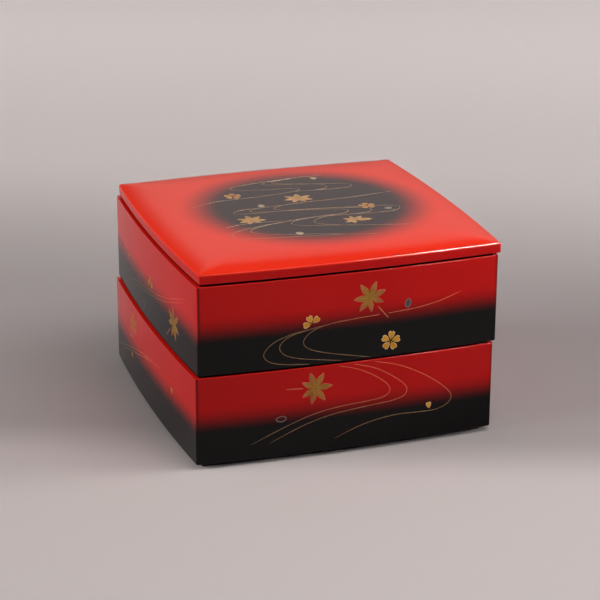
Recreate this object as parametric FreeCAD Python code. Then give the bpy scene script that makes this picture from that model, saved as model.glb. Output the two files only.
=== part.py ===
"""A square lacquered food box of two stacking tiers and a lid, on bowed sides.

Each tier is four side boards mitred at the corners, hidden splines across the
mitres, a bottom board let into a rebate, and four foot strips that stand under
it.  The foot of a tier, or the tongue of the lid, drops inside the rim of the
tier below and rests on a ledge there, which leaves a shadow gap all round.
The origin is under the middle of the stack, on the table, with the front to -Y.
"""
import FreeCAD, Part
import math
import os

Vector = FreeCAD.Vector

# Driving dimensions, in millimetres
SIDE = 197.0            # across the box at the middle of its bowed sides
BOW = 3.5               # how far a side bows out past its corners
WALL_HEIGHT = 55.4      # side boards of a tier
WALL = 7.5              # thickness of the side boards
BOTTOM = 4.0            # thickness of the bottom board
FOOT_HEIGHT = 3.4       # foot strips, and the tongue under the lid
FOOT_WIDTH = 5.0
FOOT_BEARING = 1.0      # how much of a foot strip lies under the wall, outside the bottom board
RIM_LIP = 3.0           # what the ledge leaves of the wall at the rim
LEDGE_DEPTH = 2.1       # from the rim down to the ledge
LID_RIM = 3.0           # side strips of the lid, below its panel
LID_EDGE = 3.0          # upright edge of the lid panel
LID_CROWN = 3.6         # rise of the lid panel from its edge to its middle
CROWN_POWER = 8         # higher is flatter in the middle and steeper at the edge
SPLINE_THICKNESS = 1.5
SPLINE_WIDTH = 5.0
SPLINE_STOP = 6.0       # solid wood left above and below each spline

# Clearances
NEST_PLAY = 1.9         # sideways, between a foot and the rim around it
REST_SHIFT = 1.6        # how far each piece rests to the right of the one below
SEAT_GAP = 0.1          # between a foot and the ledge that it rests on
GLUE_GAP = 0.1          # around a bottom board and around a spline

# Roundings
CORNER_ROUND = 1.4      # upright outside corners
INNER_ROUND = 2.0       # upright inside corners, filled by the lacquer
EDGE_ROUND = 0.5        # lower outside edges of the boards and of the lid
RIM_ROUND = 0.35        # upper outside edge of a tier
LID_ROUND = 1.2         # top edge of the lid
EASE = 0.5              # edges of the rim, the ledge and the foot
CROWN_CORNER = 16.0     # corner radius of the crown's innermost contour

# Contours that the crown is drawn through, as shares of the way in from the edge
CROWN_STEPS = (0, 0.02, 0.05, 0.1, 0.17, 0.26, 0.38, 0.55, 0.75)

# Working allowances
OVERSHOOT = 1.0         # how far a cutting solid runs past the face that it opens
NEAR = 0.01             # how close an edge lies to its outline to be picked

# Worked out from the above
HALF = SIDE / 2
BOW_RADIUS = ((HALF - BOW) ** 2 + BOW ** 2) / (2 * BOW)
BOW_CENTRE = BOW_RADIUS - HALF
FOOT_INSET = RIM_LIP + NEST_PLAY
BOTTOM_INSET = FOOT_INSET + FOOT_BEARING
TIER_PITCH = WALL_HEIGHT - LEDGE_DEPTH + SEAT_GAP + FOOT_HEIGHT
LID_BASE = 2 * TIER_PITCH
UP = Vector(0, 0, 1)
ORIGIN = Vector(0, 0, 0)
SIDES = ("front", "right", "back", "left")


def corner(inset):
    """Distance along X, and along Y, of the outline's sharp corner."""
    radius = BOW_RADIUS - inset
    return (math.sqrt(2 * radius ** 2 - BOW_CENTRE ** 2) - BOW_CENTRE) / 2


def outline(inset, z, rounding):
    """The bowed square, moved in by inset, with rounded corners."""
    radius = BOW_RADIUS - inset
    bow = Vector(0, BOW_CENTRE, z)
    centre = Vector(corner(inset + rounding), -corner(inset + rounding), z)
    spoke = (centre - bow).normalize()
    right = bow + spoke * radius
    left = Vector(-right.x, right.y, z)
    next_side = Vector(-right.y, -right.x, z)
    outward = Vector(1, -1, 0).normalize()
    front = Part.Arc(left, Vector(0, inset - HALF, z), right).toShape()
    turn = Part.Arc(right, centre + outward * rounding, next_side).toShape()
    edges = []
    for quarter in range(4):
        for edge in (front, turn):
            edges.append(edge.copy().rotate(ORIGIN, UP, 90 * quarter))
    return Part.Wire(edges)


def slab(inset, low, high, rounding):
    """The bowed square as a solid between two heights."""
    return Part.Face(outline(inset, low, rounding)).extrude(UP * (high - low))


def inset_of(point):
    """How far a point lies in from the outline."""
    reach = 0
    for x, y in ((0, 1), (-1, 0), (0, -1), (1, 0)):
        reach = max(reach, math.hypot(point.x - x * BOW_CENTRE, point.y - y * BOW_CENTRE))
    return BOW_RADIUS - reach


def edges_at(shape, z, inset):
    """The edges of an outline: those at height z, at this inset, all round."""
    found = []
    for edge in shape.Edges:
        ends = [vertex.Point for vertex in edge.Vertexes]
        level = all(abs(end.z - z) < NEAR for end in ends)
        if level and all(abs(inset_of(end) - inset) < NEAR for end in ends):
            found.append(edge)
    return found


def mitre(ring):
    """Cut a ring on its diagonals into its four sides."""
    low = ring.BoundBox.ZMin - OVERSHOOT
    high = ring.BoundBox.ZMax + OVERSHOOT
    corners = [Vector(0, 0, low), Vector(SIDE, -SIDE, low), Vector(-SIDE, -SIDE, low)]
    wedge = Part.Face(Part.makePolygon(corners + corners[:1])).extrude(UP * (high - low))
    pieces = {}
    for quarter, side in enumerate(SIDES):
        part = ring.common(wedge.copy().rotate(ORIGIN, UP, 90 * quarter))
        pieces[side] = part.removeSplitter()
    return pieces


def splines(low, high, gap):
    """Four upright slips across the mitres, grown by gap on every face."""
    depth = (corner(0) + corner(WALL)) / 2 * math.sqrt(2)
    thick = SPLINE_THICKNESS + 2 * gap
    wide = SPLINE_WIDTH + 2 * gap
    slips = []
    for quarter in range(4):
        slip = Part.makeBox(thick, wide, high - low + 2 * gap)
        slip.translate(Vector(depth - thick / 2, -wide / 2, low - gap))
        slips.append(slip.rotate(ORIGIN, UP, 45 + 90 * quarter))
    return slips


def tier(name, base, shift):
    """One tier, standing with its foot at height base."""
    bottom = base + FOOT_HEIGHT
    rim = bottom + WALL_HEIGHT
    ledge = rim - LEDGE_DEPTH
    spline_low = bottom + BOTTOM + SPLINE_STOP
    spline_high = ledge - SPLINE_STOP

    walls = slab(0, bottom, rim, CORNER_ROUND)
    walls = walls.makeFillet(EDGE_ROUND, edges_at(walls, bottom, 0))
    walls = walls.makeFillet(RIM_ROUND, edges_at(walls, rim, 0))
    walls = walls.cut(slab(WALL, bottom - OVERSHOOT, rim + OVERSHOOT, INNER_ROUND))
    walls = walls.cut(slab(RIM_LIP, ledge, rim + OVERSHOOT, INNER_ROUND))
    walls = walls.cut(slab(BOTTOM_INSET, bottom - OVERSHOOT, bottom + BOTTOM, INNER_ROUND))
    walls = walls.makeFillet(EASE, edges_at(walls, rim, RIM_LIP) + edges_at(walls, ledge, WALL))
    for groove in splines(spline_low, spline_high, GLUE_GAP):
        walls = walls.cut(groove)

    foot = slab(FOOT_INSET, base, bottom, INNER_ROUND)
    foot = foot.cut(slab(FOOT_INSET + FOOT_WIDTH, base - OVERSHOOT, bottom + OVERSHOOT, INNER_ROUND))
    foot = foot.makeFillet(EASE, edges_at(foot, base, FOOT_INSET))

    nodes = {}
    for side, board in mitre(walls).items():
        nodes[f"{name}_{side}_board"] = board
    for side, strip in mitre(foot).items():
        nodes[f"{name}_foot_{side}"] = strip
    nodes[f"{name}_bottom_board"] = slab(BOTTOM_INSET + GLUE_GAP, bottom, bottom + BOTTOM, INNER_ROUND)
    nodes[f"{name}_corner_splines"] = Part.makeCompound(splines(spline_low, spline_high, 0))
    return place(nodes, shift)


def crown(inset):
    """Height of the lid's top above its edge, at a distance in from the outline."""
    return LID_CROWN * (1 - (1 - inset / HALF) ** CROWN_POWER)


def lid(base, shift):
    """The lid, with the foot of its tongue at height base."""
    shoulder = base + FOOT_HEIGHT
    seam = shoulder + LID_RIM
    edge = seam + LID_EDGE

    rim = slab(0, shoulder, seam, CORNER_ROUND)
    rim = rim.makeFillet(EDGE_ROUND, edges_at(rim, shoulder, 0))
    tongue = slab(FOOT_INSET, base, shoulder, INNER_ROUND)
    tongue = tongue.makeFillet(EASE, edges_at(tongue, base, FOOT_INSET))
    rim = rim.fuse(tongue).removeSplitter()
    rim = rim.cut(slab(FOOT_INSET + FOOT_WIDTH, base - OVERSHOOT, seam + OVERSHOOT, INNER_ROUND))

    contours = []
    for step in CROWN_STEPS:
        inset = step * HALF
        share = math.sqrt(step / CROWN_STEPS[-1])
        rounding = CORNER_ROUND + (CROWN_CORNER - CORNER_ROUND) * share
        contours.append(outline(inset, edge + crown(inset), rounding))
    dome = Part.makeLoft(contours, True, False)
    panel = slab(0, seam, edge, CORNER_ROUND).fuse(dome).removeSplitter()
    panel = panel.makeFillet(LID_ROUND, edges_at(panel, edge, 0))

    nodes = {"lid_panel": panel}
    for side, strip in mitre(rim).items():
        nodes[f"lid_rim_{side}"] = strip
    return place(nodes, shift)


def place(nodes, shift):
    """Move the pieces of one body sideways to where the body rests."""
    for shape in nodes.values():
        shape.translate(Vector(shift, 0, 0))
    return nodes


def main():
    os.makedirs("parts", exist_ok=True)
    nodes = {}
    nodes.update(tier("lower", 0, -REST_SHIFT))
    nodes.update(tier("upper", TIER_PITCH, 0))
    nodes.update(lid(LID_BASE, REST_SHIFT))
    for name, shape in nodes.items():
        if not shape.isValid():
            raise ValueError(f"{name} is not a valid solid")
        shape.exportStep(f"parts/{name}.step")
        box = shape.BoundBox
        print(f"{name}: {len(shape.Solids)} solids, {shape.Volume / 1000:.2f} cm3, "
              f"z {box.ZMin:.2f} to {box.ZMax:.2f}")


main()
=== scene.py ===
"""Looks of the two-tier lacquer food box: lacquer, gold and silver decoration, light and camera.

Decoration is laid out in millimetres on each face: along the face from its middle,
and up from the lower edge of the side boards, or across the lid from its centre.
"""
import math
from functools import partial

import bpy
from mathutils import Matrix, Vector
from mathutils.bvhtree import BVHTree
from mathutils.geometry import interpolate_bezier


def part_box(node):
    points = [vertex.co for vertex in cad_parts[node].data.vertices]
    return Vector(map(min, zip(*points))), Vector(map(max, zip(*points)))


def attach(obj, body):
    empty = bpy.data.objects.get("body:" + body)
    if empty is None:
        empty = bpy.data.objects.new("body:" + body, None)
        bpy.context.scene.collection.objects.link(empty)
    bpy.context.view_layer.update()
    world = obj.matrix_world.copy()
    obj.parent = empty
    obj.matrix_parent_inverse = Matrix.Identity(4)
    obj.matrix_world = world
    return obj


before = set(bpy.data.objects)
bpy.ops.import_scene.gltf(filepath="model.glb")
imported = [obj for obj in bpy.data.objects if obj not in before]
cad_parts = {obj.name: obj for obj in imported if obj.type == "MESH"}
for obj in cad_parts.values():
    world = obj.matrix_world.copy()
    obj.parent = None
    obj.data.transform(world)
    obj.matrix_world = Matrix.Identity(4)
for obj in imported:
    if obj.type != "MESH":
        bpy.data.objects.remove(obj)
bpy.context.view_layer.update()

MM = 0.001

# Sizes of the box, in metres: its width from the frame, the rest as it was modelled
LID_LOW, LID_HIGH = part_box("lid_panel")
HALF = (LID_HIGH.y - LID_LOW.y) / 2
BOW = 3.5 * MM              # how far the middle of a side stands out from its corners
LID_EDGE = 3.0 * MM         # upright edge of the lid panel
LID_RIM = 3.0 * MM          # side strips of the lid, below its panel
BOW_RADIUS = ((HALF - BOW) ** 2 + BOW ** 2) / (2 * BOW)
BOW_CENTRE = BOW_RADIUS - HALF
SIDES = ("front", "right", "back", "left")

# Lacquer and wood: linear colours, gloss and grain
TIER_RED = {
    "upper": ((0.60, 0.0040, 0.0030, 1), (0.54, 0.0028, 0.0022, 1)),
    # The lower tier's red is darker than the upper's: painted shade, for the lesser light that reaches the
    # lower tier
    "lower": ((0.55, 0.0037, 0.0028, 1), (0.50, 0.0026, 0.0020, 1)),
}
# The lid top's red is lighter and more orange than the same coat on its sides: painted light and sheen put
# into the top's colour
LID_TOP_RED_PAINTED_LIGHT = ((0.88, 0.030, 0.010, 1), (0.84, 0.026, 0.008, 1))
# A brighter red for the rims' flat tops: painted light, lifting them out of the shade in the gap under the
# piece above
RIM_RED_PAINTED_LIGHT = (0.80, 0.014, 0.007, 1)
CORNER_RED = (0.16, 0.004, 0.003, 1)
BLACK = (0.0036, 0.0027, 0.0030, 1)
SATIN_BLACK = (0.011, 0.0095, 0.009, 1)
# The lid round's black is lighter and bluer than the plain black: partly painted reflection, the backdrop's
# sheen put into its colour
ROUND_BLACK = (0.016, 0.008, 0.014, 1)
WOOD = ((0.42, 0.26, 0.13, 1), (0.62, 0.44, 0.25, 1))
LACQUER_SPECULAR = 0.16
WIPING = (1, 6, 3)          # how much finer wiping marks are along each axis
WOOD_GRAIN = (1, 1, 0.06)   # and the grain of the splines

# Where the colours of a tier meet
FADE_LOW = 20 * MM          # black below this height on a side board
FADE_HIGH = 37 * MM         # red above this one
SIDE_DROP = {"upper": 2.5 * MM, "lower": 1.2 * MM}  # how much lower both are on the left and right
SIDE_REACH = 1.0 * MM       # how far in from the left or right that holds
SPRAY_DRIFT = 1.2 * MM      # how far a sprayed edge wanders either way
SPRAY_GRAIN = 1.3 * MM      # how far its speckle scatters either way
CORNER_LINE = (2.2 * MM, 0.5 * MM)  # a darker line along each upright corner, on its two faces
CORNER_CORE = 1 / 3         # share of the line's width that is darkest
COAT_EDGE = 0.2 * MM        # how softly a coat of colour ends
RIM_DEPTH = 0.2 * MM        # the top of a rim is what lies above this depth
RIM_ROUND = 0.3 * MM        # and inside its rounded edge
# Past the narrower reach at the front and back the rim is black: painted shade in the gap under the piece
# above
PAINTED_RIM = (1.2 * MM, 2.6 * MM)  # how far colour runs over it: front and back, left and right

# Where the colours of the lid meet
PAINTED_SHADE_EDGE = 0.35 * MM       # the underside's black runs up the sides to this height: painted shade over the gap below the lid
SEAM_BLEND = (0.1 * MM, 0.3 * MM)   # heights above the seam where the panel's colour begins
TOP_BLEND = 1.6 * MM        # depth below the top edge where the tier's darker red of the sides takes over from the top's painted light
ROUND_CENTRE = (4.6 * MM, 2.2 * MM)
ROUND_DARK = 55 * MM        # the round is black inside this radius
ROUND_RED = 84.5 * MM       # and the lid red outside this one

# Metal powder
POWDER_METALLIC = 0.15
POWDER_SPECULAR = 0.2
POWDER_THIN = 1.7           # where it lies thinnest, the ground shows this many times its bare share
POWDER_THICK = 0.3          # and this many where it lies thickest

# Decoration: how far it stands out of the lacquer and reaches into it
RAISE = 0.04 * MM
SINK = 0.06 * MM
LEAF_RAISE = 0.09 * MM
PETAL_RAISE = 0.08 * MM
RIDGE_FALL = 0.4            # share of a ridge's height that it loses towards the tip
VEIN_LIFT = 0.8             # share of that height at which a vein lies
OUTLINE_LIFT = 0.4          # and an outline

# Raised lines
LINE_WIDTH = 0.6 * MM
FINE_LINE = 0.55 * MM       # outlines and veins
STEM_WIDTH = 0.7 * MM
LINE_STEP = 1.0 * MM
LEAST_STEPS = 3             # between two points of a path
TAPER = 0.12                # share of a line over which it narrows to each end
TAPER_END = 0.35            # share of the width that is left there
VEIN_SHARES = (0.15, 0.50, 0.85)    # the vein of a lobe, on the way from its base to its tip
STEM_SHARES = (0.42, 0.70, 1.0)     # a stem, on the way from the leaf's middle to the stem's end
# Section of a raised line: shares of its half width across, and how far out
LINE_SECTION = ((-1, -SINK), (-0.55, RAISE * 0.8), (0, RAISE), (0.55, RAISE * 0.8), (1, -SINK))

# Half outlines of a leaf lobe, a petal and a bud: shares of the length, along and across
LOBE = ((0.05, 0.04), (0.22, 0.125), (0.42, 0.18), (0.57, 0.175), (0.75, 0.12), (0.90, 0.05))
PETAL = ((0.04, 0.03), (0.20, 0.13), (0.45, 0.30), (0.70, 0.40), (0.90, 0.36), (1.0, 0.20))
OVAL = ((0.05, 0.10), (0.18, 0.24), (0.42, 0.36), (0.66, 0.36), (0.86, 0.23), (0.96, 0.10))
NOTCH = 0.88                # where a petal's end is notched, as a share of its length
LINED = 0.88                # share of the width at which a leaf, petal or bud is outlined
PETAL_TURN = 360 / 5        # between the petals of a blossom
BLOSSOM_EYE = 0.1           # share of a blossom's radius that its petals leave open
# Lobes of a maple leaf seen flat, and of one seen from the side: turn from the heading, length
FLAT_LEAF = ((0, 1.0), (57, 0.98), (105, 0.97), (150, 0.86), (-57, 0.98), (-105, 0.97), (-150, 0.86))
SIDE_LEAF = ((0, 1.0), (48, 0.80), (96, 0.72), (144, 0.70), (-160, 0.66), (-112, 0.56))

# Camera, fitted to the edges of the box in the 600 x 600 photograph
PHOTO_PX = 600
FOCAL_PX = 2070.7
CAMERA_AZIMUTH = -18.86
CAMERA_ELEVATION = 20.15
CAMERA_DISTANCE = 1.3266
CAMERA_ROLL = 0.21
CAMERA_TARGET = Vector((0.5 * MM, 0, 64.3 * MM))
SENSOR_MM = 36

# Floor: linear colours, and distances in metres
FLOOR_RADIUS = 8.0
FLOOR_CORNERS = 96
FLOOR_PALE = (0.57, 0.507, 0.496, 1)
# A grey band across the floor around the box: painted shadow
FLOOR_PAINTED_SHADOW = (0.40, 0.355, 0.348, 1)
FLOOR_FAR = (0.72, 0.648, 0.637, 1)
FLOOR_BOUNCE = (0.13, 0.116, 0.113, 1)  # what it throws back onto the box
FLOOR_DEPTH = (0.40, 0.917, 0)      # level direction in which the floor shades
FLOOR_DRIFT = 0.02                  # how far the shading wanders either way
FLOOR_NEAR = (-0.118, -0.055)       # where it goes from pale to the painted shadow on the way back
FLOOR_BEYOND = (0.16, 0.55)         # and from the painted shadow to pale again
FLOOR_GLOW = (0.18, 0.162, 0.159, 1)    # what the far floor adds to the background
FLOOR_GLOW_FROM = (0.35, 1.1)       # where that sets in
NO_GLOW = (0, 0, 0, 1)

# Room
BACKDROP_COLOUR = (0.77, 0.67, 0.62, 1)
BACKDROP_LOW = (0.28, 0.24, 0.21, 1)
CEILING_COLOUR = (0.10, 0.09, 0.088, 1)
AMBIENT_COLOUR = (0.22, 0.217, 0.213, 1)
BACKDROP_FOOT = (0.0, 0.42)         # sines of the heights where the backdrop grows paler
BACKDROP_TOP = (0.48, 0.64)         # and where it gives way to the ceiling
BACKDROP_SIDE = (0.06, 0.20)        # how far to the right its left edge shades in


class Nodes:
    """A node tree, with one short call for each kind of node."""

    def __init__(self, tree, place):
        self.tree = tree
        self.place = self.node("ShaderNodeTexCoord").outputs[place]

    def node(self, kind, **settings):
        made = self.tree.nodes.new(kind)
        for key, value in settings.items():
            setattr(made, key, value)
        return made

    def put(self, value, socket):
        if isinstance(value, bpy.types.NodeSocket):
            self.tree.links.new(value, socket)
        else:
            socket.default_value = value

    def math(self, operation, a, b):
        made = self.node("ShaderNodeMath", operation=operation)
        self.put(a, made.inputs[0])
        self.put(b, made.inputs[1])
        return made.outputs[0]

    def vector(self, operation, a, b):
        made = self.node("ShaderNodeVectorMath", operation=operation)
        self.put(a, made.inputs[0])
        self.put(b, made.inputs[1])
        return made.outputs["Value" if operation in ("DISTANCE", "DOT_PRODUCT") else "Vector"]

    def axis(self, name):
        split = self.node("ShaderNodeSeparateXYZ")
        self.put(self.place, split.inputs[0])
        return split.outputs[name]

    def noise(self, scale, detail=2.0, place=None):
        made = self.node("ShaderNodeTexNoise")
        self.put(place or self.place, made.inputs["Vector"])
        made.inputs["Scale"].default_value = scale
        made.inputs["Detail"].default_value = detail
        return made.outputs["Fac"]

    def fade(self, value, low, high):
        """Nothing at low, rising smoothly to one at high."""
        made = self.node("ShaderNodeMapRange", clamp=True, interpolation_type="SMOOTHSTEP")
        self.put(value, made.inputs["Value"])
        made.inputs["From Min"].default_value = low
        made.inputs["From Max"].default_value = high
        return made.outputs["Result"]

    def spread(self, value, low, high):
        """Map a noise of 0 to 1 onto low to high."""
        made = self.node("ShaderNodeMapRange", clamp=True)
        self.put(value, made.inputs["Value"])
        made.inputs["To Min"].default_value = low
        made.inputs["To Max"].default_value = high
        return made.outputs["Result"]

    def mix(self, factor, a, b, blend="MIX"):
        made = self.node("ShaderNodeMix", data_type="RGBA", blend_type=blend, clamp_result=True)
        self.put(factor, made.inputs["Factor"])
        self.put(a, made.inputs["A"])
        self.put(b, made.inputs["B"])
        return made.outputs["Result"]

    def bump(self, height, distance, strength, normal=None):
        made = self.node("ShaderNodeBump")
        self.put(height, made.inputs["Height"])
        made.inputs["Distance"].default_value = distance
        made.inputs["Strength"].default_value = strength
        if normal:
            self.put(normal, made.inputs["Normal"])
        return made.outputs["Normal"]


class Shader(Nodes):
    """A material and its node tree."""

    def __init__(self, name):
        self.material = bpy.data.materials.new(name)
        self.material.use_nodes = True
        super().__init__(self.material.node_tree, "Object")

    def finish(self, **inputs):
        surface = self.tree.nodes["Principled BSDF"]
        for name, value in inputs.items():
            self.put(value, surface.inputs[name.replace("_", " ")])
        return self.material


def insets(shader, shift):
    """How far a point lies in from each bowed side of a body resting at shift."""
    flat = shader.vector("MULTIPLY", shader.place, (1, 1, 0))
    found = []
    for x, y in ((0, 1), (-1, 0), (0, -1), (1, 0)):
        centre = (shift + x * BOW_CENTRE, y * BOW_CENTRE, 0)
        found.append(shader.math("SUBTRACT", BOW_RADIUS, shader.vector("DISTANCE", flat, centre)))
    return found


def outside(shader, sides, reach):
    """One on the outside of a body, down to nothing further in than reach."""
    nearest = sides[0]
    for side in sides[1:]:
        nearest = shader.math("MINIMUM", nearest, side)
    return shader.fade(nearest, reach + COAT_EDGE, reach)


def corner_line(shader, sides):
    """One along the upright corners, where a darker line runs on both faces."""
    front, right, back, left = sides
    wide, narrow = CORNER_LINE
    left, right = (shader.fade(side, wide, wide * CORNER_CORE) for side in (left, right))
    front, back = (shader.fade(side, narrow, narrow * CORNER_CORE) for side in (front, back))
    return shader.math("MULTIPLY", shader.math("ADD", front, back), shader.math("ADD", left, right))


def lacquer(name, ground):
    """Polished lacquer: a deep gloss with faint waviness, dust and wiping marks."""
    shader = Shader(name)
    wave = shader.bump(shader.noise(scale=45, detail=1.0), distance=0.03 * MM, strength=0.4)
    dust = shader.bump(shader.noise(scale=2600), distance=0.004 * MM, strength=0.35, normal=wave)
    wiped = shader.noise(scale=9, detail=3.0, place=shader.vector("MULTIPLY", shader.place, WIPING))
    return shader.finish(
        Base_Color=ground(shader),
        Roughness=shader.spread(wiped, low=0.045, high=0.10),
        Specular_IOR_Level=LACQUER_SPECULAR,
        Normal=dust,
    )


def red_lacquer(shader, reds):
    """Red with the slight depth and cloudiness of a rubbed colour coat."""
    return shader.mix(shader.fade(shader.noise(scale=14, detail=3.0), low=0.35, high=0.75), *reds)


def spray(shader, value):
    """A height or radius, ragged as a sprayed edge is: slow drift and fine grain."""
    drift = shader.spread(shader.noise(scale=13), -SPRAY_DRIFT, SPRAY_DRIFT)
    grain = shader.spread(shader.noise(scale=1500, detail=1.0), -SPRAY_GRAIN, SPRAY_GRAIN)
    return shader.math("ADD", value, shader.math("ADD", drift, grain))


def tier_ground(shader, tier, shift, wall_low, wall_high):
    """Colour of a tier. Outside: red fading to black towards the foot, with a brighter red of painted light
    on the rim's top and black painted shade over the rim at the front and back. Inside: black.
    """
    height = shader.math("SUBTRACT", shader.axis("Z"), wall_low)
    sides = insets(shader, shift)
    drop = shader.math("MULTIPLY", outside(shader, sides[1::2], SIDE_REACH), SIDE_DROP[tier])
    height = shader.math("ADD", height, drop)
    fade = shader.fade(spray(shader, height), FADE_LOW, FADE_HIGH)
    red = shader.mix(corner_line(shader, sides), red_lacquer(shader, TIER_RED[tier]), CORNER_RED)
    # Painted light: the rim's flat top takes a brighter red
    painted_light_rim = shader.fade(shader.axis("Z"), wall_high - RIM_DEPTH, wall_high)
    painted_light_rim = shader.math("SUBTRACT", painted_light_rim, outside(shader, sides, RIM_ROUND))
    red = shader.mix(painted_light_rim, red, RIM_RED_PAINTED_LIGHT)
    # The black past the front and back reach is painted shade
    over = [outside(shader, sides[turn::2], reach) for turn, reach in enumerate(PAINTED_RIM)]
    painted = shader.math("MULTIPLY", fade, shader.math("MAXIMUM", *over))
    return shader.mix(painted, BLACK, red)


def lid_ground(shader, shift, seam, edge):
    """Colour of the lid. Outside: red, lighter on the top as painted light, with a black round sprayed on
    the top and black painted shade along the lower edge. Underside: black.
    """
    flat = shader.vector("MULTIPLY", shader.place, (1, 1, 0))
    centre = (shift + ROUND_CENTRE[0], ROUND_CENTRE[1], 0)
    radius = shader.vector("DISTANCE", flat, centre)
    fade = shader.fade(spray(shader, radius), ROUND_DARK, ROUND_RED)
    above = shader.fade(shader.axis("Z"), *[seam + height for height in SEAM_BLEND])
    painted = shader.math("MAXIMUM", outside(shader, insets(shader, shift), LID_RIM), above)
    shoulder = seam - LID_RIM
    # Painted shade: black over the lid's lower edge, above the gap
    above_painted_shade = shader.fade(shader.axis("Z"), shoulder + PAINTED_SHADE_EDGE / 2, shoulder + PAINTED_SHADE_EDGE)
    painted = shader.math("MULTIPLY", painted, above_painted_shade)
    # Painted light: the lighter red on the lid's top, the tier's red on its sides
    painted_light_top = shader.fade(shader.axis("Z"), edge - TOP_BLEND, edge)
    red = shader.mix(painted_light_top, red_lacquer(shader, TIER_RED["upper"]), red_lacquer(shader, LID_TOP_RED_PAINTED_LIGHT))
    return shader.mix(painted, BLACK, shader.mix(fade, ROUND_BLACK, red))


def black_lacquer(name):
    """Satin black for the bottom boards and feet, with a faint brushed cloudiness."""
    shader = Shader(name)
    return shader.finish(
        Base_Color=shader.mix(shader.noise(scale=40, detail=3.0), BLACK, SATIN_BLACK),
        Roughness=shader.spread(shader.noise(scale=120, detail=3.0), low=0.22, high=0.34),
        Specular_IOR_Level=LACQUER_SPECULAR,
        Normal=shader.bump(shader.noise(scale=900), distance=0.02 * MM, strength=0.4),
    )


def spline_wood(name):
    """Bare straight-grained wood."""
    shader = Shader(name)
    along = shader.vector("MULTIPLY", shader.place, WOOD_GRAIN)
    grain = shader.noise(scale=700, detail=4.0, place=along)
    return shader.finish(
        Base_Color=shader.mix(grain, *WOOD),
        Roughness=shader.spread(grain, low=0.55, high=0.75),
        Normal=shader.bump(grain, distance=0.1 * MM, strength=0.3),
    )


def metal_powder(name, ground, dark, light, cover, blend):
    """Metal powder sprinkled on wet lacquer: speckled, with the ground showing between the grains."""
    shader = Shader(name)
    speck = shader.noise(scale=5200)
    worn = shader.fade(shader.noise(scale=160, detail=3.0), low=0.30, high=0.62)
    tone = shader.math("MULTIPLY", shader.fade(speck, low=0.28, high=0.72), worn)
    metal = shader.mix(tone, dark, light)
    bare = 1 - cover
    covered = shader.spread(shader.noise(scale=3300), 1 - POWDER_THIN * bare, 1 - POWDER_THICK * bare)
    return shader.finish(
        Base_Color=shader.mix(covered, ground(shader), metal, blend),
        Metallic=POWDER_METALLIC,
        Specular_IOR_Level=POWDER_SPECULAR,
        Roughness=shader.spread(speck, low=0.34, high=0.50),
        Normal=shader.bump(speck, distance=0.03 * MM, strength=0.6),
    )


class Face:
    """A side of a tier: maps flat millimetres to its surface."""

    def __init__(self, body, node, turn):
        self.body = body
        self.turn = turn
        self.shift = BODY_SHIFT[body]
        self.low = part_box(node)[0].z

    def at(self, along, up, out):
        """A point of the side: along the face, up from its lower edge, out of the surface."""
        spread = math.asin(along * MM / BOW_RADIUS)
        radius = BOW_RADIUS + out
        flat = Vector((radius * math.sin(spread), BOW_CENTRE - radius * math.cos(spread), 0))
        flat.rotate(Matrix.Rotation(self.turn, 3, "Z"))
        return Vector((flat.x + self.shift, flat.y, self.low + up * MM))


class Top(Face):
    """The top of the lid, where height is read off the panel itself."""

    def __init__(self, body, node):
        super().__init__(body, node, 0)
        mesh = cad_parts[node].data
        corners = [vertex.co for vertex in mesh.vertices]
        self.tree = BVHTree.FromPolygons(corners, [tuple(p.vertices) for p in mesh.polygons])

    def at(self, along, up, out):
        """A point of the top: to the right of its centre, back from it, out of the surface."""
        start = Vector((along * MM + self.shift, up * MM, LID_HIGH.z + HALF))
        height = self.tree.ray_cast(start, Vector((0, 0, -1)))[0].z
        return Vector((start.x, start.y, height + out))


def sides_of(base, heading, length, profile, width):
    """The way ahead, and the two edges, of a lobe or petal that grows from base."""
    angle = math.radians(heading)
    ahead = Vector((math.cos(angle), math.sin(angle))) * length
    aside = Vector((-ahead.y, ahead.x)) * width
    edges = []
    for hand in (1, -1):
        edges.append([base + ahead * along + aside * across * hand for along, across in profile])
    return ahead, edges


def smooth(path):
    """Evenly stepped points on a smooth curve through a given path."""
    knots = [Vector(knot) for knot in path]
    ends = [knots[0]] + knots + [knots[-1]]
    course = []
    for a, b, c, d in zip(ends, ends[1:], ends[2:], ends[3:]):
        steps = max(LEAST_STEPS, round((c - b).length * MM / LINE_STEP))
        # Handles of a sixth of the chord between its neighbours make each knot a smooth one
        handles = (b, b + (c - a) / 6, c - (d - b) / 6, c)
        points = interpolate_bezier(*[h.to_3d() for h in handles], steps + 1)
        course += [point.to_2d() for point in points[:-1]]
    return course + [knots[-1]]


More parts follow.
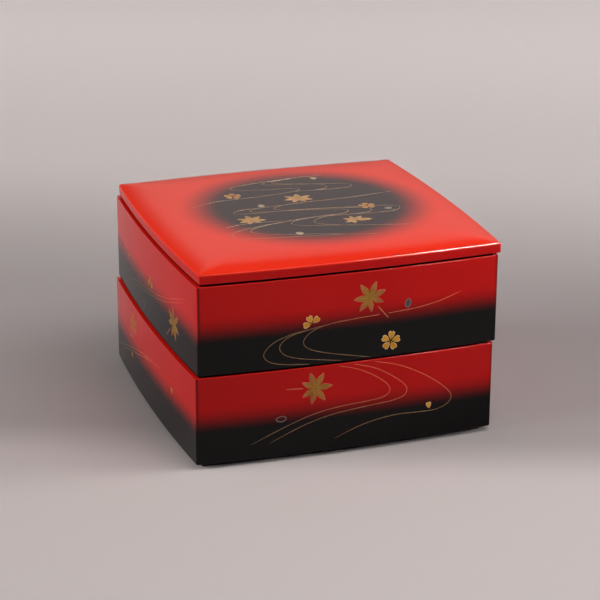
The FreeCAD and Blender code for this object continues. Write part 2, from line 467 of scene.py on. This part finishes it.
class Relief:
    """Collects thin closed shells on one face into one mesh."""

    def __init__(self, face):
        self.face = face
        self.points = []
        self.faces = []

    def point(self, flat, out):
        self.points.append(self.face.at(flat[0], flat[1], out))
        return len(self.points) - 1

    def line(self, path, width=LINE_WIDTH, lift=0.0):
        """A raised line through given points, tapered at its ends."""
        course = smooth(path)
        rings = []
        for index, here in enumerate(course):
            before = course[max(index - 1, 0)]
            after = course[min(index + 1, len(course) - 1)]
            side = (after - before).orthogonal().normalized()
            share = min(index, len(course) - 1 - index) / (TAPER * len(course))
            half = width / MM / 2 * (TAPER_END + (1 - TAPER_END) * min(1, share))
            ring = []
            for across, out in LINE_SECTION:
                ring.append(self.point(here + side * half * across, lift + out))
            rings.append(ring)
        count = len(LINE_SECTION)
        for first, second in zip(rings, rings[1:]):
            for a in range(count):
                b = (a + 1) % count
                self.faces.append((first[a], second[a], second[b], first[b]))
        self.faces.append(tuple(rings[0]))
        self.faces.append(tuple(reversed(rings[-1])))

    def blade(self, base, tip, left, right, height):
        """A leaf lobe or petal: a ridge from base to tip, sloping to an upright skirt all round."""
        count = len(left)
        ridge = []
        for step in range(count):
            share = step / count
            ridge.append(self.point(base.lerp(tip, share), height * (1 - RIDGE_FALL * share)))
        end = self.point(tip, RAISE)
        foot_end = self.point(tip, -SINK)
        foot = self.point(base, -SINK)
        under = self.point(base.lerp(tip, 0.5), -SINK)
        spine = ridge + [end]
        for edge, flip in ((left, True), (right, False)):
            rim = [self.point(flat, RAISE) for flat in edge] + [end]
            skirt = [self.point(flat, -SINK) for flat in edge] + [foot_end]
            made = [(ridge[0], foot, skirt[0], rim[0]), (under, skirt[0], foot)]
            for step in range(count):
                quad = [spine[step], rim[step], rim[step + 1], spine[step + 1]]
                made.append(tuple(quad[:3] if step == count - 1 else quad))
                made.append((rim[step], skirt[step], skirt[step + 1], rim[step + 1]))
                made.append((under, skirt[step + 1], skirt[step]))
            self.faces += [tuple(reversed(face)) for face in made] if flip else made

    def lobe(self, middle, heading, length, width):
        """One lobe of a maple leaf."""
        ahead, edges = sides_of(middle, heading, length, LOBE, width)
        self.blade(middle, middle + ahead, *edges, LEAF_RAISE)

    def lobe_lines(self, middle, heading, length, width):
        """The vein of a lobe, and its outline from the valleys to the tip."""
        ahead, edges = sides_of(middle, heading, length, LOBE, width * LINED)
        vein = [middle + ahead * share for share in VEIN_SHARES]
        self.line(vein, FINE_LINE, LEAF_RAISE * VEIN_LIFT)
        for edge in edges:
            self.line(edge[2:] + [middle + ahead], FINE_LINE, LEAF_RAISE * OUTLINE_LIFT)

    def petal(self, base, size, heading, width=1.0, profile=PETAL, end=NOTCH):
        """A cherry petal with its notched end, or a bud with a plain one."""
        ahead, edges = sides_of(base, heading, size, profile, width)
        self.blade(base, base + ahead * end, *edges, PETAL_RAISE)

    def petal_lines(self, base, size, heading, width=1.0, profile=PETAL, end=NOTCH):
        """The outline of a petal, open at its base, or of a bud, closed all round."""
        ahead, edges = sides_of(base, heading, size, profile, width * LINED)
        for edge in edges:
            start = [base] + edge if profile is OVAL else edge[1:]
            self.line(start + [base + ahead * end], FINE_LINE, PETAL_RAISE * OUTLINE_LIFT)

    def build(self, name, material, slot):
        """Make it one piece that rides on the body of its face."""
        mesh = bpy.data.meshes.new(name)
        mesh.from_pydata(self.points, [], self.faces)
        mesh.materials.append(material)
        mesh.validate()
        piece = bpy.data.objects.new(name, mesh)
        bpy.context.scene.collection.objects.link(piece)
        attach(piece, self.face.body)


# Loose petals and buds: the pieces that hold their fill and outline, their half outline and its end
PETAL_KINDS = (
    ("petals", "blossom", "blossom_lines", PETAL, NOTCH),
    ("pale_petals", "pale_petal", "pale_lines", OVAL, 1.0),
    ("silver", "silver_petal", "silver_lines", OVAL, 1.0),
    ("silver_rings", None, "silver_lines", OVAL, 1.0),
)


def draw_leaves(reliefs, leaves, lobes, plump):
    """Maple leaves with their veins, outlines and stems."""
    for centre, size, heading, stem in leaves:
        centre = Vector(centre)
        for turn, length in lobes:
            shape = (centre, heading + turn, size * length, plump)
            reliefs["maple"].lobe(*shape)
            reliefs["maple_lines"].lobe_lines(*shape)
        if stem:
            away = Vector(stem) - centre
            reliefs["maple_lines"].line([centre + away * share for share in STEM_SHARES], STEM_WIDTH)


def draw_blossoms(reliefs, blossoms):
    """Cherry blossoms, whole or in part, with outlined petals."""
    for centre, size, heading, count in blossoms:
        for index in range(count):
            angle = heading + PETAL_TURN * index
            ahead = Vector((math.cos(math.radians(angle)), math.sin(math.radians(angle))))
            shape = (Vector(centre) + ahead * size * BLOSSOM_EYE, size * (1 - BLOSSOM_EYE), angle)
            reliefs["blossom"].petal(*shape)
            reliefs["blossom_lines"].petal_lines(*shape)


def draw_petals(reliefs, pattern):
    """Loose petals and buds of every kind."""
    for petals, fill, lines, profile, end in PETAL_KINDS:
        for base, size, heading, width in pattern.get(petals, ()):
            shape = (Vector(base), size, heading, width, profile, end)
            if fill:
                reliefs[fill].petal(*shape)
            reliefs[lines].petal_lines(*shape)


def decorate(face, name, pattern, powders, ground):
    """All the gold and silver on one face, each kind as its own piece."""
    reliefs = {kind: Relief(face) for kind in powders}
    for path in pattern["streams"]:
        reliefs["stream"].line(path)
    for leaves, lobes in (("leaves", FLAT_LEAF), ("side_leaves", SIDE_LEAF)):
        draw_leaves(reliefs, pattern.get(leaves, ()), lobes, pattern.get("plump", 1.0))
    draw_blossoms(reliefs, pattern.get("blossoms", ()))
    draw_petals(reliefs, pattern)
    for kind, relief in reliefs.items():
        if relief.faces:
            dark, light, cover, blend = powders[kind]
            powder = metal_powder(f"{name}_{kind}_powder", ground, dark + (1,), light + (1,), cover, blend)
            slot = "silver_powder" if kind.startswith("silver") else "gold_powder"
            relief.build(f"{name}_{kind}", powder, slot)


def clothe(nodes, material):
    """Give CAD nodes a material in place of their plain one."""
    for name in nodes:
        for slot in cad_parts[name].material_slots:
            slot.material = material


def in_view(nodes):
    """One for what the camera sees, directly or mirrored, and nothing for light thrown back."""
    rays = nodes.node("ShaderNodeLightPath").outputs
    mirrored = nodes.math("MAXIMUM", rays["Is Glossy Ray"], rays["Is Transmission Ray"])
    return nodes.math("MAXIMUM", rays["Is Camera Ray"], mirrored)


def lay_floor():
    """A plain pale floor with a painted shadow in a grey band around the box, that glows faintly far off
    where it is seen.
    """
    mesh = bpy.data.meshes.new("floor")
    angles = [math.tau * corner / FLOOR_CORNERS for corner in range(FLOOR_CORNERS)]
    ring = [(FLOOR_RADIUS * math.cos(angle), FLOOR_RADIUS * math.sin(angle), 0) for angle in angles]
    mesh.from_pydata(ring, [], [tuple(range(FLOOR_CORNERS))])
    floor = bpy.data.objects.new("floor", mesh)
    bpy.context.scene.collection.objects.link(floor)
    shader = Shader("floor")
    depth = shader.vector("DOT_PRODUCT", shader.place, FLOOR_DEPTH)
    depth = shader.math("ADD", depth, shader.spread(shader.noise(scale=3), -FLOOR_DRIFT, FLOOR_DRIFT))
    colour = shader.mix(shader.fade(depth, *FLOOR_NEAR), FLOOR_PALE, FLOOR_PAINTED_SHADOW)
    colour = shader.mix(shader.fade(depth, *FLOOR_BEYOND), colour, FLOOR_FAR)
    seen = in_view(shader)
    far = shader.math("MULTIPLY", seen, shader.fade(depth, *FLOOR_GLOW_FROM))
    mesh.materials.append(shader.finish(
        Base_Color=shader.mix(seen, FLOOR_BOUNCE, colour),
        Roughness=0.9,
        Specular_IOR_Level=0.0,
        Emission_Color=shader.mix(far, NO_GLOW, FLOOR_GLOW),
        Emission_Strength=1.0,
        Normal=shader.bump(shader.noise(scale=900), distance=0.1 * MM, strength=0.2),
    ))


def paint_room():
    """A pale backdrop to the right and a dim ceiling, seen in the gloss, in an even light."""
    world = bpy.data.worlds.new("studio")
    bpy.context.scene.world = world
    world.use_nodes = True
    room = Nodes(world.node_tree, "Generated")
    height = room.axis("Z")
    backdrop = room.mix(room.fade(height, *BACKDROP_FOOT), BACKDROP_LOW, BACKDROP_COLOUR)
    across = room.fade(room.axis("X"), *BACKDROP_SIDE)
    covered = room.math("MULTIPLY", across, room.fade(height, *reversed(BACKDROP_TOP)))
    view = room.mix(covered, CEILING_COLOUR, backdrop)
    room.put(room.mix(in_view(room), AMBIENT_COLOUR, view), room.tree.nodes["Background"].inputs["Color"])


def aim(azimuth, elevation):
    """Unit vector from the box towards a place seen from the front at this azimuth."""
    a, e = math.radians(azimuth), math.radians(elevation)
    return Vector((math.sin(a) * math.cos(e), -math.cos(a) * math.cos(e), math.sin(e)))


def lamp(name, azimuth, elevation, distance, size, power):
    """A soft box of the given width and height, aimed at the middle of the food box."""
    light = bpy.data.lights.new(name, "AREA")
    light.shape = "RECTANGLE"
    light.size, light.size_y = size
    light.energy = power
    item = bpy.data.objects.new(name, light)
    item.location = CAMERA_TARGET + aim(azimuth, elevation) * distance
    item.rotation_euler = aim(azimuth, elevation).to_track_quat("Z", "Y").to_euler()
    bpy.context.scene.collection.objects.link(item)
    return item


def hang_lamps():
    """Soft boxes in front and at both sides, and a strip for the edges."""
    lamp("front", azimuth=25, elevation=58, distance=0.75, size=(0.5, 0.5), power=2.2)
    right = lamp("right", azimuth=76, elevation=11, distance=3.2, size=(1.5, 0.95), power=98)
    left = lamp("left", azimuth=-95, elevation=20, distance=3.2, size=(1.9, 1.1), power=75)
    # Mirrored in the lid, the side boxes would hide its decoration from the other side
    for side in (left, right):
        side.visible_glossy = False
    edge = lamp("edge", azimuth=82, elevation=62, distance=2.2, size=(1.3, 0.5), power=150)
    edge.visible_diffuse = False


def camera():
    """The photograph's camera: lens, place, aim and roll."""
    data = bpy.data.cameras.new("camera")
    data.sensor_fit = "HORIZONTAL"
    data.sensor_width = SENSOR_MM
    data.lens = FOCAL_PX * SENSOR_MM / PHOTO_PX
    item = bpy.data.objects.new("camera", data)
    back = aim(CAMERA_AZIMUTH, CAMERA_ELEVATION)
    across = (-back).cross(Vector((0, 0, 1))).normalized()
    up = across.cross(-back)
    turn = Matrix((across, up, back)).transposed() @ Matrix.Rotation(math.radians(CAMERA_ROLL), 3, "Z")
    item.matrix_world = Matrix.Translation(CAMERA_TARGET + back * CAMERA_DISTANCE) @ turn.to_4x4()
    bpy.context.scene.collection.objects.link(item)
    bpy.context.scene.camera = item


def middle(node):
    """Where the body that holds this whole-width node rests along X."""
    low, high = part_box(node)
    return (low.x + high.x) / 2


# What each face carries. Streams: lines through a few points. Leaves, flat or from the side: centre,
# lobe length, heading of the main lobe, and the stem's end if it shows. Blossoms: centre, radius,
# heading of the first petal, number of petals. Petals, gold, pale or silver, and silver rings, which
# are outlines alone: base, length, heading, share of the full width. Plump: share of the full width
# for the lobes of leaves.
UPPER_FRONT = {
    "streams": (
        [(70, 35.5), (55, 31), (40, 28.6), (22.5, 27.5)],
        [(17.5, 27.2), (8, 26.8), (0, 26.3), (-14, 25), (-25, 21.7), (-30.6, 16), (-28, 11), (-18, 7.2),
         (-4, 4), (11, 0.9)],
        [(-14, 25), (-28, 22.6), (-40, 19.3), (-45.4, 14), (-43, 8.9), (-35, 5.5), (-22, 3.1), (-7, 0.8)],
        [(-28, 22.8), (-40, 20.4), (-50, 16.2), (-55.2, 10), (-52, 5), (-43, 2.4), (-27, 0.8)],
    ),
    "leaves": (((11, 38.8), 10.7, 126, (23, 24.4)),),
    "blossoms": (((24.6, 9.6), 5.9, 82, 5), ((-25.3, 26.2), 5.4, 44, 3)),
    "silver": (((36.0, 35.2), 5.6, -100, 0.95),),
}
LOWER_FRONT = {
    "streams": (
        [(-7, 54.3), (5, 50.8), (16, 45.2), (24, 39), (26.4, 34), (22, 30.4), (12, 29.1), (0, 28.3),
         (-14, 26.7), (-28, 23.3), (-44, 17.3), (-62, 9.5)],
        [(3, 54.3), (17, 49.7), (29, 42.5), (36.8, 35.5), (36.4, 30), (29, 27.4), (18, 26.3), (3, 25),
         (-12, 23), (-27, 19), (-40, 13.8), (-50, 9.3)],
        [(16, 54.3), (32, 49.8), (47, 42.5), (60, 33.5), (67.2, 25.5), (65, 20), (57, 17.1), (46, 17),
         (32, 17.5), (18, 16), (5, 12.8), (-9, 7.3)],
    ),
    "leaves": (((-21.6, 41.8), 10.9, 3, (-40, 43)),),
    "petals": (((52.8, 18.2), 4.2, 100, 1.0),),
    "silver_rings": (((-46.2, 24), 6.5, 3, 0.80),),
}
UPPER_LEFT = {
    "streams": (
        [(77, 42.4), (58, 36), (40, 30.4), (20, 25.4), (0, 22), (-20, 19), (-40, 15.8),
         (-53, 11.4), (-50, 7.2)],
        [(72, 38.4), (54, 32.4), (38, 27.4), (20, 23), (4, 20.2), (-14, 17.4), (-30, 14.4),
         (-39, 11.2), (-37, 7.2)],
    ),
    "leaves": (((51.5, 18), 11, 37, (36, 5.6)),),
    "blossoms": (((1.5, 25.5), 5.4, 20, 3),),
    "petals": (((-54, 24), 4, 105, 1.0),),
    "silver": (((-11, 6.4), 4, 135, 1.0),),
}
LOWER_LEFT = {
    "streams": (
        [(25, 36.6), (5, 33), (-15, 29), (-34, 24), (-52, 19.4), (-66, 15.5), (-72, 11.5), (-69, 7)],
        [(10, 34.6), (-8, 32), (-28, 28), (-48, 22.6), (-66, 18), (-79, 14), (-84, 9.6), (-81, 5.6)],
    ),
    "leaves": (((-40, 42), 9.5, 75, (-48, 30)),),
    "petals": (((-45, 16), 4.2, 110, 1.0), ((50, 28.4), 4.4, 85, 1.0)),
}
LID = {
    "plump": 1.25,
    "streams": (
        [(35, 62.5), (16, 62.4), (-2, 60), (-16, 57.4), (-28, 54.8), (-32, 50.5), (-27, 46), (-14, 43),
         (0, 41), (10, 39), (9, 34.8), (-2, 32), (-18, 29.8), (-36, 28.6), (-52, 26.4), (-66, 20)],
        [(12, 61.5), (0, 59.6), (-8, 56), (-7, 52.4), (8, 49), (24, 45), (40, 41), (46, 36), (42, 31.6),
         (24, 31.8), (6, 33.4)],
        [(14, 60.6), (2, 59), (-2, 55.5), (6, 51), (20, 46.6), (29, 41), (28, 34.6), (18, 32)],
        [(66, 15), (50, 12), (34, 10.4), (16, 9.6), (0, 9), (-12, 6.8), (-18, 1.8), (-12, -3), (4, -5),
         (20, -7.4), (38, -10.2), (53, -13), (59, -17.6), (54, -23.6), (40, -24.6), (24, -23)],
        [(-6, 7.6), (-22, 7), (-32, 4.2), (-33, 0), (-22, -3), (-6, -4.4), (10, -6.2), (28, -10), (39, -14),
         (38, -21), (26, -23), (8, -22)],
        [(-14, 7.2), (-30, 6.6), (-42, 4.4), (-44, -0.6), (-34, -3), (-16, -3.6), (0, -6), (16, -9.4),
         (25.6, -14), (20, -19.8), (2, -21.4), (-16, -24), (-34, -28), (-50, -33), (-58.5, -40),
         (-53, -48.4), (-36, -52.6), (-16, -55.6), (6, -59.2), (30, -65)],
        [(-18, -24.6), (-34, -28.6), (-44.6, -35), (-43, -42), (-30, -48), (-12, -52.6), (8, -58)],
        [(2, -21.6), (-12, -25), (-17, -30.4), (-10, -36), (6, -40.4), (22, -45), (38, -49.4), (56, -54)],
        [(14, -21), (3, -24.6), (-2.4, -31), (2, -37), (12, -41.4)],
        [(-58, -25.4), (-47, -22), (-34, -21.4), (-20, -23)],
    ),
    "leaves": (((3.4, 18), 9.8, 80, None), ((-38.4, -15.6), 9.2, 95, None)),
    "side_leaves": (((22.8, -35), 11.2, -2, None),),
    "blossoms": (((-35, 35.5), 5.3, 80, 5), ((40, -9.5), 5.2, 90, 5)),
    "pale_petals": (((27, 55), 5, 80, 1.2), ((-24.6, 8), 5, 70, 1.2), ((-18, -52), 5.2, 95, 1.3)),
    "silver": (((48.6, -19), 5.2, 20, 1.0),),
}

# Powders of each kind of piece: darker and lighter colour, how much of the ground they cover,
# and whether they hide the ground or let it show through
FRONT_POWDERS = {
    "stream": ((0.36, 0.19, 0.09), (0.66, 0.38, 0.18), 0.50, "ADD"),
    "maple": ((0.26, 0.135, 0.018), (0.46, 0.265, 0.04), 0.92, "MIX"),
    "maple_lines": ((0.52, 0.15, 0.07), (0.80, 0.30, 0.15), 0.85, "MIX"),
    "blossom": ((0.60, 0.25, 0.015), (0.90, 0.43, 0.045), 0.95, "MIX"),
    "blossom_lines": ((0.85, 0.50, 0.20), (1.0, 0.74, 0.42), 0.85, "MIX"),
    "silver_petal": ((0.022, 0.028, 0.032), (0.10, 0.122, 0.13), 0.95, "MIX"),
    "silver_lines": ((0.19, 0.18, 0.18), (0.38, 0.36, 0.36), 0.70, "MIX"),
}
LEFT_SHADE_COVER = 0.8            # the left side's powders cover less of the ground: painted shade, the same gold catching less light there
LEFT_POWDERS_PAINTED_SHADE = {}
for kind, (dark, light, cover, blend) in FRONT_POWDERS.items():
    LEFT_POWDERS_PAINTED_SHADE[kind] = (dark, light, cover * LEFT_SHADE_COVER, blend)
# Darker blossoms and outlines on the left: painted shade
LEFT_POWDERS_PAINTED_SHADE["blossom"] = ((0.32, 0.15, 0.03), (0.52, 0.28, 0.07), 0.75, "MIX")
LEFT_POWDERS_PAINTED_SHADE["blossom_lines"] = ((0.36, 0.20, 0.08), (0.54, 0.34, 0.16), 0.65, "MIX")
# The lid's gold is a paler copy of the gold on the sides, with lighter leaves: painted reflection of the
# pale backdrop in the powder
LID_POWDERS_PAINTED_REFLECTION = {
    "stream": ((0.34, 0.19, 0.09), (0.58, 0.34, 0.17), 0.80, "MIX"),
    "maple": ((0.44, 0.24, 0.09), (0.62, 0.38, 0.17), 0.92, "MIX"),
    "maple_lines": ((0.46, 0.22, 0.09), (0.62, 0.34, 0.15), 0.80, "MIX"),
    "blossom": ((0.44, 0.17, 0.04), (0.64, 0.30, 0.09), 0.92, "MIX"),
    "blossom_lines": ((0.46, 0.24, 0.10), (0.62, 0.38, 0.20), 0.80, "MIX"),
    "pale_petal": ((0.36, 0.28, 0.17), (0.54, 0.44, 0.29), 0.92, "MIX"),
    "pale_lines": ((0.38, 0.30, 0.19), (0.56, 0.46, 0.32), 0.85, "MIX"),
    "silver_petal": ((0.22, 0.16, 0.155), (0.40, 0.31, 0.30), 0.80, "MIX"),
    "silver_lines": ((0.34, 0.26, 0.25), (0.52, 0.42, 0.40), 0.70, "MIX"),
}

BODY_SHIFT = {
    "lower_tier": middle("lower_bottom_board"),
    "upper_tier": middle("upper_bottom_board"),
    "lid": middle("lid_panel"),
}

# Lacquer and wood on the CAD nodes
feet = black_lacquer("black_lacquer_satin")
wood = spline_wood("spline_wood_bare")
grounds = {"lid": partial(lid_ground, shift=BODY_SHIFT["lid"], seam=LID_LOW.z, edge=LID_LOW.z + LID_EDGE)}
clothe(["lid_panel"] + [f"lid_rim_{side}" for side in SIDES], lacquer("lid_lacquer_coat", grounds["lid"]))
for tier in ("lower", "upper"):
    body = f"{tier}_tier"
    low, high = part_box(f"{tier}_front_board")
    grounds[body] = partial(tier_ground, tier=tier, shift=BODY_SHIFT[body], wall_low=low.z,
                            wall_high=high.z)
    coat = lacquer(f"{tier}_lacquer_coat", grounds[body])
    clothe([f"{tier}_{side}_board" for side in SIDES], coat)
    clothe([f"{tier}_foot_{side}" for side in SIDES] + [f"{tier}_bottom_board"], feet)
    clothe([f"{tier}_corner_splines"], wood)

# Gold and silver on the front, the left side and the lid
LEFT_TURN = -math.pi / 2
for name, face, pattern, powders in (
    ("upper_front", Face("upper_tier", "upper_front_board", 0), UPPER_FRONT, FRONT_POWDERS),
    ("lower_front", Face("lower_tier", "lower_front_board", 0), LOWER_FRONT, FRONT_POWDERS),
    ("upper_left", Face("upper_tier", "upper_left_board", LEFT_TURN), UPPER_LEFT, LEFT_POWDERS_PAINTED_SHADE),
    ("lower_left", Face("lower_tier", "lower_left_board", LEFT_TURN), LOWER_LEFT, LEFT_POWDERS_PAINTED_SHADE),
    ("lid", Top("lid", "lid_panel"), LID, LID_POWDERS_PAINTED_REFLECTION),
):
    decorate(face, name, pattern, powders, grounds[face.body])

# Studio
lay_floor()
paint_room()
hang_lamps()
camera()
bpy.context.scene.view_settings.view_transform = "Standard"
